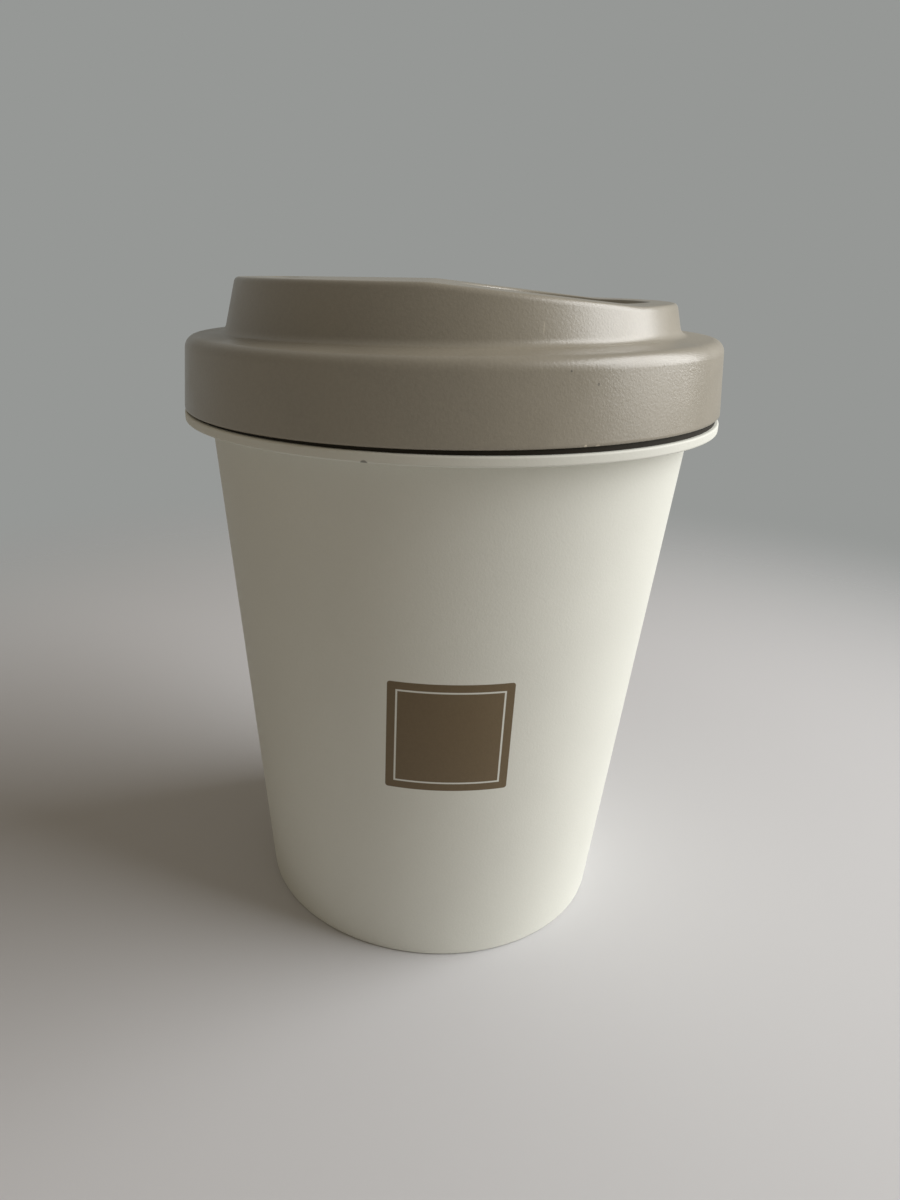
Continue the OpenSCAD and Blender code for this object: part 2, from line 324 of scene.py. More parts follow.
class LidForm:
    """Lines of the lid in its own frame, with heights above the skirt's lower edge."""

    def __init__(self, cup, lid, seal):
        self.cup = CupForm(cup)
        self.lid = lid
        self.skirt_r = cup.rim_r
        self.seat_z = cup.height + lid.seat_gap
        self.lid_z = self.seat_z + self.skirt_r * math.sin(lid.tilt)
        self.shoulder_edge_h = lid.shoulder_h - lid.shoulder_w * math.tan(lid.shoulder_slope)
        self.under_shoulder_h = lid.shoulder_h - lid.wall / math.cos(lid.shoulder_slope)
        self.plug_top_r = self.cup.mouth_r(self.lid_z) - lid.plug_gap
        self.dish_x = self.raised_r(lid.low_rim_h) - lid.rim_land - lid.dish_r
        self.ledge_edge_x = -self.raised_r(lid.ledge_h)
        self.slope_start_h = lid.ledge_h - lid.ledge_fall
        self.sip_x = self.ledge_edge_x + lid.sip_inset
        self.groove_high_h = -seal.groove_drop
        self.groove_low_h = self.groove_high_h - seal.groove_h
        self.groove_mid_h = (self.groove_high_h + self.groove_low_h) / 2
        self.groove_r = self.plug_r(self.groove_mid_h) - seal.groove_depth

    def skirt_out_r(self, h):
        """Radius of the skirt's outside."""
        return self.skirt_r - h * math.tan(self.lid.skirt_draft)

    def skirt_in_r(self, h):
        """Radius of the skirt's inside."""
        return self.skirt_out_r(h) - self.lid.wall / math.cos(self.lid.skirt_draft)

    def raised_r(self, h):
        """Radius of the raised wall's outside."""
        lid = self.lid
        return self.skirt_r - lid.shoulder_w - (h - lid.shoulder_h) * math.tan(lid.raised_lean)

    def raised_in_r(self, h):
        """Radius of the raised wall's inside."""
        return self.raised_r(h) - self.lid.wall / math.cos(self.lid.raised_lean)

    def plug_r(self, h):
        """Radius of the plug's outside, which keeps its gap to the cup's wall."""
        return self.cup.mouth_r(self.lid_z + h) - self.lid.plug_gap

    def dish_r(self, h):
        """Radius of the dish."""
        return self.lid.dish_r + (h - self.lid.low_rim_h) * math.tan(self.lid.dish_lean)

    def top_h(self, x):
        """Height of the top at x: a ledge that falls a little, a slope with round bends, a low rim."""
        lid = self.lid
        bend = lid.slope_bend_r
        ledge_fall = lid.ledge_fall / (lid.slope_start_x - self.ledge_edge_x)
        slope_fall = (self.slope_start_h - lid.low_rim_h) / (lid.slope_end_x - lid.slope_start_x)
        ledge_angle = math.atan(ledge_fall)
        slope_angle = math.atan(slope_fall)
        upper_run = bend * math.tan((slope_angle - ledge_angle) / 2)
        upper_start_x = lid.slope_start_x - upper_run * math.cos(ledge_angle)
        upper_start_h = self.slope_start_h + upper_run * math.sin(ledge_angle)
        upper_x = upper_start_x - bend * math.sin(ledge_angle)
        upper_h = upper_start_h - bend * math.cos(ledge_angle)
        lower_x = lid.slope_end_x + bend * math.tan(slope_angle / 2)
        lower_h = lid.low_rim_h + bend
        reach = bend * math.sin(slope_angle)
        sections = [x < upper_start_x, x < upper_x + reach, x < lower_x - reach, x < lower_x]
        heights = [
            self.slope_start_h - (x - lid.slope_start_x) * ledge_fall,
            upper_h + np.sqrt(np.clip(bend**2 - (x - upper_x) ** 2, 0, None)),
            self.slope_start_h - (x - lid.slope_start_x) * slope_fall,
            lower_h - np.sqrt(np.clip(bend**2 - (lower_x - x) ** 2, 0, None)),
        ]
        return np.select(sections, heights, lid.low_rim_h)

    def flange_h(self, x, gap):
        """Height in the lid's own frame at x of the level plane a gap above the flange."""
        tilt = self.lid.tilt
        return (gap - self.lid.seat_gap - (x + self.skirt_r) * math.sin(tilt)) / math.cos(tilt)

    def on_cup(self):
        """Matrix that seats the lid on the cup, tilted about the drinking side."""
        hinge = Matrix.Translation((-self.skirt_r, 0, self.seat_z))
        tilt = Matrix.Rotation(-self.lid.tilt, 4, "Y")
        return hinge @ tilt @ Matrix.Translation((self.skirt_r, 0, 0))


# Meshes

def add_object(name, data):
    """Puts a mesh, a lamp or a camera in the scene as an object at the origin."""
    piece = bpy.data.objects.new(name, data)
    bpy.context.scene.collection.objects.link(piece)
    return piece


def remove_object(piece):
    """Takes an object and its mesh out of the file."""
    mesh = piece.data
    bpy.data.objects.remove(piece)
    bpy.data.meshes.remove(mesh)


def as_plain_mesh(piece):
    """Puts the result of an object's modifiers into its mesh and removes them."""
    graph = bpy.context.evaluated_depsgraph_get()
    result = bpy.data.meshes.new_from_object(piece.evaluated_get(graph))
    result.name = piece.name
    before = piece.data
    piece.modifiers.clear()
    piece.data = result
    bpy.data.meshes.remove(before)
    return piece


def weld(mesh):
    """Joins points that lie on each other and points all faces outwards."""
    work = bmesh.new()
    work.from_mesh(mesh)
    bmesh.ops.remove_doubles(work, verts=work.verts, dist=WELD)
    bmesh.ops.recalc_face_normals(work, faces=work.faces)
    work.to_mesh(mesh)
    work.free()


def cut_away(piece, tool):
    """Cuts a tool's body out of a piece and removes the tool."""
    cut = piece.modifiers.new("cut", "BOOLEAN")
    cut.operation = "DIFFERENCE"
    cut.solver = "MANIFOLD"
    cut.object = tool
    as_plain_mesh(piece)
    remove_object(tool)


def body_from_rows(name, rows, closed=False):
    """A body skinned over rows of points, each row once round the axis."""
    count = len(rows[0])
    points = np.concatenate(rows)
    here = np.arange(count)
    beside = (here + 1) % count
    spans = range(len(rows) if closed else len(rows) - 1)
    quads = []
    for low in spans:
        low_at = low * count
        high_at = (low + 1) % len(rows) * count
        quads.append(np.stack([low_at + here, low_at + beside, high_at + beside, high_at + here], axis=1))
    mesh = bpy.data.meshes.new(name)
    mesh.from_pydata(points.tolist(), [], np.concatenate(quads).tolist())
    weld(mesh)
    return add_object(name, mesh)


# Node groups

def join(tree, *pairs):
    """Links pairs of an output socket and an input socket."""
    for output, target in pairs:
        tree.links.new(output, target)


def feed(tree, socket, value):
    """Links a socket to an input, or sets a plain value on it."""
    if isinstance(value, bpy.types.NodeSocket):
        tree.links.new(value, socket)
    else:
        socket.default_value = value


def new_node(tree, kind, inputs, **settings):
    """Adds a node with its settings, feeds its inputs by name or number, and returns its outputs."""
    node = tree.nodes.new(kind)
    for name, value in settings.items():
        setattr(node, name, value)
    for label, value in inputs.items():
        feed(tree, node.inputs[label], value)
    return node.outputs


def new_group(name, tree_kind, inputs, outputs):
    """An empty node group with sockets of (label, kind, default): (tree, its inputs, its outputs)."""
    tree = bpy.data.node_groups.new(name, tree_kind)
    for in_out, sockets in (("INPUT", inputs), ("OUTPUT", outputs)):
        for label, kind, *default in sockets:
            socket = tree.interface.new_socket(label, in_out=in_out, socket_type="NodeSocket" + kind)
            if default:
                socket.default_value = default[0]
    given = tree.nodes.new("NodeGroupInput").outputs
    result = tree.nodes.new("NodeGroupOutput").inputs
    return tree, given, result


def built_once(build):
    """Makes a node group's builder build it at the first call and find it by its name at later ones."""

    def group():
        return bpy.data.node_groups.get(build.__name__) or build(build.__name__)

    return group


# Turned pieces, by Geometry Nodes

@built_once
def turned_section(name):
    """Rounds a section's corners, turns it once round the axis and closes its poles."""
    tree, given, result = new_group(
        name,
        "GeometryNodeTree",
        [
            ("Section", "Geometry"),
            ("Segments", "Int", 256),
            ("Corner steps", "Int", 8),
            ("Spine radius", "Float", SPINE_R),
            ("Finish", "Material"),
        ],
        [("Body", "Geometry")],
    )
    outline = new_node(tree, "GeometryNodeMeshToCurve", {"Mesh": given["Section"]})[0]
    corner_r = new_node(tree, "GeometryNodeInputNamedAttribute", {"Name": "corner_r"}, data_type="FLOAT")[0]
    rounding = {"Curve": outline, "Count": given["Corner steps"], "Radius": corner_r}
    profile = new_node(tree, "GeometryNodeFilletCurve", rounding, mode="POLY")[0]
    spine = {"Resolution": given["Segments"], "Radius": given["Spine radius"]}
    circle = new_node(tree, "GeometryNodeCurvePrimitiveCircle", spine)[0]
    body = new_node(tree, "GeometryNodeCurveToMesh", {"Curve": circle, "Profile Curve": profile})[0]
    steps = [
        ("GeometryNodeFlipFaces", {}),
        ("GeometryNodeMergeByDistance", {"Distance": WELD}),
        ("GeometryNodeSetShadeSmooth", {}),
        ("GeometryNodeRealizeInstances", {}),
        ("GeometryNodeSetMaterial", {"Material": given["Finish"]}),
    ]
    for kind, inputs in steps:
        body = new_node(tree, kind, {0: body, **inputs})[0]
    join(tree, (body, result["Body"]))
    return tree


def held_outline(corners):
    """Adds short straight stretches beside the rounded corners of an outline of (r, h, radius)."""
    points = []
    for i, (r, h, radius) in enumerate(corners):
        here = np.array([r, h])
        if radius == 0:
            points.append((r, h, radius))
            continue
        before = np.array(corners[i - 1][:2]) - here
        after = np.array(corners[i + 1][:2]) - here
        before_way = before / np.linalg.norm(before)
        after_way = after / np.linalg.norm(after)
        half = math.acos(np.clip(before_way @ after_way, -1, 1)) / 2
        reach = radius / math.tan(half) + HOLD
        points.append((*(here + before_way * reach), 0.0))
        points.append((r, h, radius))
        points.append((*(here + after_way * reach), 0.0))
    return points


def turned_piece(name, corners, material):
    """A turned body through corners of (r, h, radius), anticlockwise in the half plane of the axis."""
    outline = held_outline(corners)
    edges = [(i, i + 1) for i in range(len(outline) - 1)]
    mesh = bpy.data.meshes.new(name)
    mesh.from_pydata([(r - SPINE_R, -h, 0) for r, h, _ in outline], edges, [])
    radii = mesh.attributes.new("corner_r", "FLOAT", "POINT")
    radii.data.foreach_set("value", [radius for _, _, radius in outline])
    piece = add_object(name, mesh)

    stage = bpy.context.scene.mug_stage
    tree = turned_section()
    values = {
        "Segments": stage.segments,
        "Corner steps": stage.corner_steps,
        "Spine radius": SPINE_R,
        "Finish": material,
    }
    turned = piece.modifiers.new("turned", "NODES")
    turned.node_group = tree
    for item in tree.interface.items_tree:
        if item.in_out == "INPUT" and item.name in values:
            turned[item.identifier] = values[item.name]
    return as_plain_mesh(piece)


# Shader groups

def calculate(tree, operation, *values):
    """The output of a Math node."""
    return new_node(tree, "ShaderNodeMath", dict(enumerate(values)), operation=operation)[0]


def calculate_vector(tree, operation, *values, output="Vector"):
    """The output of a Vector Math node."""
    return new_node(tree, "ShaderNodeVectorMath", dict(enumerate(values)), operation=operation)[output]


def remap(tree, value, from_low, from_high, to_low=0.0, to_high=1.0):
    """A value moved from one range to another and kept inside it."""
    inputs = dict(enumerate((value, from_low, from_high, to_low, to_high)))
    return new_node(tree, "ShaderNodeMapRange", inputs, interpolation_type="SMOOTHSTEP")["Result"]


def noise(tree, position, size, detail, roughness=0.5):
    """A noise value whose features are about a length across."""
    scale = calculate(tree, "DIVIDE", 1.0, size)
    inputs = {"Vector": position, "Scale": scale, "Detail": detail, "Roughness": roughness}
    return new_node(tree, "ShaderNodeTexNoise", inputs)["Fac"]


def mix_colours(tree, mask, first, second):
    """The first colour, or the second where the mask is 1."""
    outputs = new_node(tree, "ShaderNodeMix", {0: mask, COLOUR_A: first, COLOUR_B: second}, data_type="RGBA")
    return outputs[MIXED_COLOUR]


@built_once
def moulded_grain(name):
    """Relief, speckle and mottle of a moulded surface: fine spark-eroded grain over a slow unevenness."""
    tree, given, result = new_group(
        name,
        "ShaderNodeTree",
        [("Position", "Vector"), ("Grain size", "Float", 0.3 * MM), ("Mottle size", "Float", 12 * MM)],
        [("Relief", "Float"), ("Speckle", "Float"), ("Mottle", "Float")],
    )
    position = given["Position"]
    relief = noise(tree, position, given["Grain size"], detail=2.0, roughness=0.6)
    coarse_size = calculate(tree, "MULTIPLY", given["Grain size"], 1.4)
    speckle = noise(tree, position, coarse_size, detail=3.0, roughness=0.7)
    mottle = noise(tree, position, given["Mottle size"], detail=3.0)
    join(
        tree,
        (relief, result["Relief"]),
        (remap(tree, speckle, from_low=0.3, from_high=0.7), result["Speckle"]),
        (remap(tree, mottle, from_low=0.3, from_high=0.7), result["Mottle"]),
    )
    return tree


@built_once
def surface_mark(name):
    """Mask of one small mark or painted spot of light or shade: 1 inside an oval body at a place, and 0
    outside it.
    """
    tree, given, result = new_group(
        name,
        "ShaderNodeTree",
        [("Position", "Vector"), ("Place", "Vector"), ("Reach", "Vector")],
        [("Mark", "Float")],
    )
    away = calculate_vector(tree, "SUBTRACT", given["Position"], given["Place"])
    scaled = calculate_vector(tree, "DIVIDE", away, given["Reach"])
    far = calculate_vector(tree, "LENGTH", scaled, output="Value")
    join(tree, (remap(tree, far, from_low=1.0, from_high=0.6), result["Mark"]))
    return tree


@built_once
def printed_square(name):
    """Masks of a square printed on the outside of a tapered wall, with a thin line inside its edge."""
    tree, given, result = new_group(
        name,
        "ShaderNodeTree",
        [
            ("Position", "Vector"),
            ("Turn", "Float"),
            ("Height", "Float"),
            ("Size", "Float", 20 * MM),
            ("Corner radius", "Float", 0.5 * MM),
            ("Line inset", "Float", 1.5 * MM),
            ("Line width", "Float", 0.3 * MM),
            ("Inner limit", "Float"),
        ],
        [("Ink", "Float"), ("Line", "Float")],
    )

    def minus(first, second):
        return calculate(tree, "SUBTRACT", first, second)

    def times(first, second):
        return calculate(tree, "MULTIPLY", first, second)

    axes = tree.nodes.new("ShaderNodeSeparateXYZ")
    join(tree, (given["Position"], axes.inputs["Vector"]))
    x, y, z = axes.outputs
    turn = minus(calculate(tree, "ARCTAN2", x, times(y, -1.0)), given["Turn"])
    across = calculate_vector(tree, "MULTIPLY", given["Position"], (1.0, 1.0, 0.0))
    radius = calculate_vector(tree, "LENGTH", across, output="Value")
    along = calculate(tree, "ABSOLUTE", times(turn, radius))
    up = calculate(tree, "ABSOLUTE", minus(z, given["Height"]))
    core = minus(times(given["Size"], 0.5), given["Corner radius"])
    past_side = calculate(tree, "MAXIMUM", minus(along, core), 0.0)
    past_top = calculate(tree, "MAXIMUM", minus(up, core), 0.0)
    squares = calculate(tree, "ADD", times(past_side, past_side), times(past_top, past_top))
    corner_far = calculate(tree, "SQRT", squares)
    nearest = minus(calculate(tree, "MAXIMUM", along, up), core)
    inside = calculate(tree, "MINIMUM", nearest, 0.0)
    edge = minus(calculate(tree, "ADD", corner_far, inside), given["Corner radius"])
    ink = remap(tree, edge, INK_FADE, -INK_FADE)
    from_line = calculate(tree, "ABSOLUTE", calculate(tree, "ADD", edge, given["Line inset"]))
    line = remap(tree, minus(from_line, times(given["Line width"], 0.5)), INK_FADE, -INK_FADE)
    outside = calculate(tree, "GREATER_THAN", radius, given["Inner limit"])
    join(tree, (times(ink, outside), result["Ink"]), (times(line, outside), result["Line"]))
    return tree


# Materials

def new_material(name):
    """A material with one Principled shader: (material, tree, the shader's inputs, object position)."""
    material = bpy.data.materials.new(name)
    material.use_nodes = True
    tree = material.node_tree
    shader = tree.nodes["Principled BSDF"]
    place = tree.nodes.new("ShaderNodeTexCoord")
    return material, tree, shader.inputs, place.outputs["Object"]


def place_group(tree, group, position, **values):
    """Puts a shader group in a material and returns its outputs."""
    inputs = {label.replace("_", " "): value for label, value in values.items()}
    return new_node(tree, "ShaderNodeGroup", {"Position": position, **inputs}, node_tree=group)


def add_bump(tree, shader, height, depth):
    """Feeds a height to the shader's normal, with its full depth as a length."""
    bump = new_node(tree, "ShaderNodeBump", {"Strength": 1.0, "Distance": depth, "Height": height})
    join(tree, (bump["Normal"], shader["Normal"]))


def shaded(tint, factor):
    """A colour made lighter or darker."""
    return [min(1.0, channel * factor) for channel in tint[:3]] + [1.0]


def round_the_mug(turn_degrees, radius, z):
    """Point at a turn round the mug, a radius and a height."""
    turn = math.radians(turn_degrees)
    return (radius * math.sin(turn), -radius * math.cos(turn), z)


def mottled(tree, mask, tint, low, high):
    """A colour that runs from one share of its lightness to another over a mask."""
    return mix_colours(tree, mask, shaded(tint, low), shaded(tint, high))


def flecked(tree, grain, base, tint, strength):
    """A colour flecked with a tint where the grain's speckle is."""
    return mix_colours(tree, calculate(tree, "MULTIPLY", grain["Speckle"], strength), base, tint)


def uneven(tree, mask, middle, below, above):
    """A value that runs from below its middle to above it over a mask."""
    return remap(tree, mask, 0.0, 1.0, middle - below, middle + above)


def marked(tree, position, base, tint, place, reach, strength=1.0):
    """A colour with one small mark, painted highlight or painted shade in a tint, whose reach is in
    millimetres.
    """
    reach = [side * MM for side in reach]
    mark = place_group(tree, surface_mark(), position, Place=place, Reach=reach)
    return mix_colours(tree, calculate(tree, "MULTIPLY", mark["Mark"], strength), base, tint)


def cream_plastic(cup):
    """Matt cream plastic with a fine grain, the printed square and a nick under the flange as a spot of
    painted shade.
    """
    material, tree, shader, position = new_material("cream_plastic")
    form = CupForm(cup)
    grain = place_group(tree, moulded_grain(), position, Grain_size=PLASTIC_GRAIN, Mottle_size=16 * MM)
    base = mottled(tree, grain["Mottle"], cup.cream, low=0.985, high=1.01)
    base = flecked(tree, grain, base, shaded(cup.cream, 0.955), strength=0.35)
    print_marks = place_group(
        tree,
        printed_square(),
        position,
        Turn=cup.print_turn,
        Height=cup.print_z,
        Size=cup.print_size,
        Inner_limit=form.outer_r(cup.print_z - cup.print_size / 2) - cup.wall_t / 2,
    )
    inked_mask = calculate(tree, "SUBTRACT", print_marks["Ink"], print_marks["Line"])
    ink = mottled(tree, grain["Speckle"], cup.ink, low=0.97, high=1.04)
    printed = mix_colours(tree, inked_mask, base, ink)
    # The nick's darkness is painted shade: a dark copy of the cream in a small spot.
    turn, inset, rise, reach = CUP_NICK_SHADE
    nick_shade_place = round_the_mug(turn, cup.rim_r - inset * MM, form.flange_low_z + rise * MM)
    tint = marked(tree, position, printed, shaded(cup.cream, 0.3), nick_shade_place, reach, strength=0.85)
    matt = uneven(tree, grain["Mottle"], cup.roughness, below=0.03, above=0.03)
    ink_gloss = calculate(tree, "MULTIPLY", inked_mask, -0.08)
    roughness = calculate(tree, "ADD", matt, ink_gloss)
    join(tree, (tint, shader["Base Color"]), (roughness, shader["Roughness"]))
    add_bump(tree, shader, grain["Relief"], CUP_RELIEF)
    return material


def taupe_plastic(lid):
    """Satin taupe plastic with a fine grain, the lid's small marks and two painted highlights on the skirt's
    edge.
    """
    material, tree, shader, position = new_material("taupe_plastic")
    grain = place_group(tree, moulded_grain(), position, Grain_size=PLASTIC_GRAIN, Mottle_size=10 * MM)
    tint = mottled(tree, grain["Mottle"], lid.taupe, low=0.97, high=1.03)
    tint = flecked(tree, grain, tint, shaded(lid.taupe, 1.12), strength=0.6)
    # The scratch and specks are marks of the lid; the two glints are painted highlights.
    for turn, radius, height, reach, factor in LID_MARKS_AND_GLINTS.values():
        place = round_the_mug(turn, radius * MM, height * MM)
        tint = marked(tree, position, tint, shaded(lid.taupe, factor), place, reach)
    shader["Specular IOR Level"].default_value = lid.gloss
    satin = uneven(tree, grain["Mottle"], lid.roughness, below=0.03, above=0.04)
    join(tree, (tint, shader["Base Color"]), (satin, shader["Roughness"]))
    add_bump(tree, shader, grain["Relief"], LID_RELIEF)
    return material


def dark_rubber(seal):
    """Dull dark rubber with a soft fine grain."""
    material, tree, shader, position = new_material("dark_rubber")
    grain = place_group(tree, moulded_grain(), position, Grain_size=0.25 * MM, Mottle_size=8 * MM)
    shader["Specular IOR Level"].default_value = seal.gloss
    base = mottled(tree, grain["Mottle"], seal.dark_brown, low=0.93, high=1.07)
    dull = uneven(tree, grain["Speckle"], seal.roughness, below=0.04, above=0.06)
    join(tree, (base, shader["Base Color"]), (dull, shader["Roughness"]))
    add_bump(tree, shader, grain["Relief"], RUBBER_RELIEF)
    return material


# Cup

def cup_section(cup):
    """Corners of the cup's section, from under the foot round to the middle of the floor."""
    form = CupForm(cup)
    floor_z = cup.foot_recess + cup.floor_t
    foot_in_r = cup.foot_r - cup.foot_ring_w
    return [
        (0.0, cup.foot_recess, 0.0),
        (foot_in_r, cup.foot_recess, cup.foot_edge_r),
        (foot_in_r, 0.0, cup.foot_edge_r),
        (cup.foot_r, 0.0, cup.foot_edge_r),
        (form.wall_top_r, form.flange_low_z, cup.flange_root_r),
        (cup.rim_r, form.flange_low_z, cup.flange_edge_r),
        (cup.rim_r, cup.height, cup.flange_edge_r),
        (form.mouth_r(cup.height), cup.height, cup.mouth_edge_r),
        (form.mouth_r(floor_z), floor_z, cup.floor_corner_r),
        (0.0, floor_z, 0.0),
    ]


class MUG_OT_cup_shell(Operator):
    """Builds the cup as one turned shell with its print"""

    bl_idname = "mug.cup_shell"
    bl_label = "Cup shell"

    def execute(self, context):
        cup = context.scene.mug_cup
        shell = turned_piece("cup_shell", cup_section(cup), cream_plastic(cup))
        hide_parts("cup")
        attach(shell, "cup")
        return {"FINISHED"}


# Lid

def unit_rows(vectors):
    """Vectors, one a row, each brought to length 1."""
    return vectors / np.linalg.norm(vectors, axis=1, keepdims=True)


def rounded_rows(stations, steps):
    """Rows of points through rings of corners, each ring rounded by its own radius."""
    rows = []
    for i, (corner, radius) in enumerate(stations):
        if radius == 0:
            rows.append(corner)
            continue
        before = unit_rows(stations[i - 1][0] - corner)
        after = unit_rows(stations[(i + 1) % len(stations)][0] - corner)
        half = np.arccos(np.clip((before * after).sum(axis=1), -1, 1))[:, None] / 2
        reach = radius / np.tan(half)
        centre = corner + unit_rows(before + after) * radius / np.sin(half)
        first = corner + before * reach - centre
        last = corner + after * reach - centre
        sweep = math.pi - 2 * half
        hold = min(HOLD, radius / 3)
        rows.append(corner + before * (reach + hold))
        for t in np.linspace(0, 1, steps + 1):
            rows.append(centre + (first * np.sin((1 - t) * sweep) + last * np.sin(t * sweep)) / np.sin(sweep))
        rows.append(corner + after * (reach + hold))
    return rows


def full_turn(count):
    """Evenly spaced turns once round the axis."""
    return np.linspace(0, 2 * math.pi, count, endpoint=False)


def ring_points(turns, radius, height, middle_x=0.0):
    """A ring of points; its radius and height may differ from point to point."""
    across = middle_x + radius * np.cos(turns)
    along = radius * np.sin(turns)
    return np.stack([across, along, np.broadcast_to(height, turns.shape)], axis=1)


def meet_top(form, turns, radius_at, middle_x):
    """Ring where a round wall meets the sloping top."""
    height = np.full(turns.shape, form.lid.ledge_h)
    for _ in range(MEET_PASSES):
        height = form.top_h(middle_x + radius_at(height) * np.cos(turns))
    return ring_points(turns, radius_at(height), height, middle_x)


def land_rings(form, outer, inner):
    """Rings over the top's surface between the raised wall's edge and the dish's edge."""
    span = inner - outer
    width = np.linalg.norm(span[:, :2], axis=1)
    margin = np.minimum(LAND_MARGIN, LAND_MARGIN_SHARE * width) / width
    rings = []
    for t in np.linspace(0, 1, LAND_RINGS):
        part = (margin + (1 - 2 * margin) * t)[:, None]
        ring = outer + span * part
        ring[:, 2] = form.top_h(ring[:, 0])
        rings.append((ring, 0))
    return rings


def lid_stations(form, seal, turns):
    """Rings of corners over the lid, from under the plug round the skirt to the middle of the dish."""
    lid = form.lid

    def ring(radius, height, corner_r=0.0):
        return ring_points(turns, radius, height), corner_r

    raised_edge = meet_top(form, turns, form.raised_r, 0.0)
    dish_edge = meet_top(form, turns, form.dish_r, form.dish_x)
    dish_corner = ring_points(turns, form.dish_r(lid.dish_floor_h), lid.dish_floor_h, form.dish_x)
    dish_middle = ring_points(turns, 0.0, lid.dish_floor_h, form.dish_x)
    skirt_in_top_h = form.shoulder_edge_h - lid.wall
    return [
        ring(0.0, -lid.plug_depth),
        ring(form.plug_r(-lid.plug_depth), -lid.plug_depth, lid.plug_edge_r),
        ring(form.plug_r(form.groove_low_h), form.groove_low_h, seal.groove_edge_r),
        ring(form.groove_r, form.groove_low_h, seal.groove_edge_r),
        ring(form.groove_r, form.groove_high_h, seal.groove_edge_r),
        ring(form.plug_r(form.groove_high_h), form.groove_high_h, seal.groove_edge_r),
        ring(form.plug_top_r, 0.0),
        ring(form.plug_top_r, form.under_shoulder_h, lid.wall / 2),
        ring(form.skirt_in_r(form.under_shoulder_h), skirt_in_top_h, lid.wall / 2),
        ring(form.skirt_in_r(0.0), 0.0, lid.skirt_edge_r),
        ring(form.skirt_r, 0.0, lid.skirt_edge_r),
        ring(form.skirt_out_r(form.shoulder_edge_h), form.shoulder_edge_h, lid.shoulder_r),
        ring(form.raised_r(lid.shoulder_h), lid.shoulder_h, lid.raised_root_r),
        (raised_edge, lid.ledge_edge_r),
        *land_rings(form, raised_edge, dish_edge),
        (dish_edge, lid.dish_edge_r),
        (dish_corner, lid.dish_corner_r),
        (dish_middle, 0.0),
    ]


def ceiling_block(form):
    """Block that fills everything above the ceiling, which lies one wall below the sloping top."""
    side = form.skirt_r + PAST
    top_h = form.lid.ledge_h + 2 * PAST
    xs = np.concatenate([[-side], np.linspace(*SLOPE_STRETCH, SLOPE_POINTS), [side]])
    across = np.concatenate([xs, [side, -side]])
    heights = np.concatenate([form.top_h(xs) - form.lid.wall, [top_h, top_h]])
    rows = []
    for along in (-side, side):
        row = np.stack([across, np.full(across.shape, along), heights], axis=1)
        middle = np.tile([0.0, along, top_h - PAST], (len(across), 1))
        rows += [row, middle]
    return body_from_rows("ceiling_block", [rows[1], rows[0], rows[2], rows[3]])


def grown_dish(form):
    """The dish, grown on all sides by the lid's wall."""
    lid = form.lid
    floor_h = lid.dish_floor_h - lid.wall
    side = lid.wall / math.cos(lid.dish_lean)
    top_h = lid.ledge_h + PAST
    dish = turned_piece(
        "grown_dish",
        [
            (0.0, floor_h, 0.0),
            (form.dish_r(floor_h) + side, floor_h, lid.dish_corner_r + lid.wall),
            (form.dish_r(top_h) + side, top_h, 0.0),
            (0.0, top_h, 0.0),
        ],
        None,
    )
    dish.data.transform(Matrix.Translation((form.dish_x, 0, 0)))
    return dish


def lid_hollow(form):
    """Space inside the plug and the raised wall, below the ceiling and round the dish."""
    lid = form.lid
    plug_in_low_r = form.plug_r(-lid.plug_depth) - lid.plug_wall
    plug_in_top_r = form.plug_top_r - lid.plug_wall
    low_h = -lid.plug_depth - PAST
    hollow = turned_piece(
        "lid_hollow",
        [
            (0.0, low_h, 0.0),
            (plug_in_low_r + PAST, low_h, 0.0),
            (plug_in_low_r + PAST, -lid.plug_depth, 0.0),
            (plug_in_low_r, -lid.plug_depth, lid.plug_edge_r),
            (plug_in_top_r, 0.0, 0.0),
            (plug_in_top_r, form.under_shoulder_h - lid.wall, 0.0),
            (form.raised_in_r(form.under_shoulder_h), form.under_shoulder_h, 0.0),
            (form.raised_in_r(lid.ledge_h), lid.ledge_h, 0.0),
            (0.0, lid.ledge_h, 0.0),
        ],
        None,
    )
    cut_away(hollow, ceiling_block(form))
    cut_away(hollow, grown_dish(form))
    return hollow


def hole_cutter(middle_x, length_y, width_x, low_h, high_h, edge_r):
    """Upright cutter with round ends, flared where it leaves both surfaces."""
    run = (length_y - width_x) / 2
    turns = full_turn(HOLE_POINTS)
    flare = np.radians(np.linspace(0, FLARE_END, FLARE_POINTS))
    grow = list(edge_r * (1 - np.cos(flare)))
    rise = list(edge_r * (np.sin(flare) - 1))
    grow.append(grow[-1] + PAST * math.tan(math.radians(FLARE_END)) / 2)
    rise.append(rise[-1] + PAST / 2)
    levels = [(low_h - up, out) for up, out in zip(rise, grow)][::-1]
    levels += [(high_h + up, out) for up, out in zip(rise, grow)]
    rows = [np.tile([middle_x, 0.0, levels[0][0]], (len(turns), 1))]
    for height, out in levels:
        row = ring_points(turns, width_x / 2 + out, height, middle_x)
        row[:, 1] += np.sign(np.sin(turns).round(9)) * run
        rows.append(row)
    rows.append(np.tile([middle_x, 0.0, levels[-1][0]], (len(turns), 1)))
    return body_from_rows("hole_cutter", rows)


def skinned_body(name, scene, stations, closed=False):
    """The lid's form, and a body skinned over the rounded rings that a function places on it."""
    form = LidForm(scene.mug_cup, scene.mug_lid, scene.mug_seal)
    rings = stations(form, scene.mug_seal, full_turn(scene.mug_stage.segments))
    rows = rounded_rows(rings, scene.mug_stage.corner_steps)
    return form, body_from_rows(name, rows, closed)


def finish_body(body, form, material, sharp_degrees):
    """Seats a body on the cup and gives it its material and smooth shading with sharp edges."""
    body.data.transform(form.on_cup())
    body.data.materials.clear()
    body.data.materials.append(material)
    body.data.shade_smooth()
    body.data.set_sharp_from_angle(angle=math.radians(sharp_degrees))


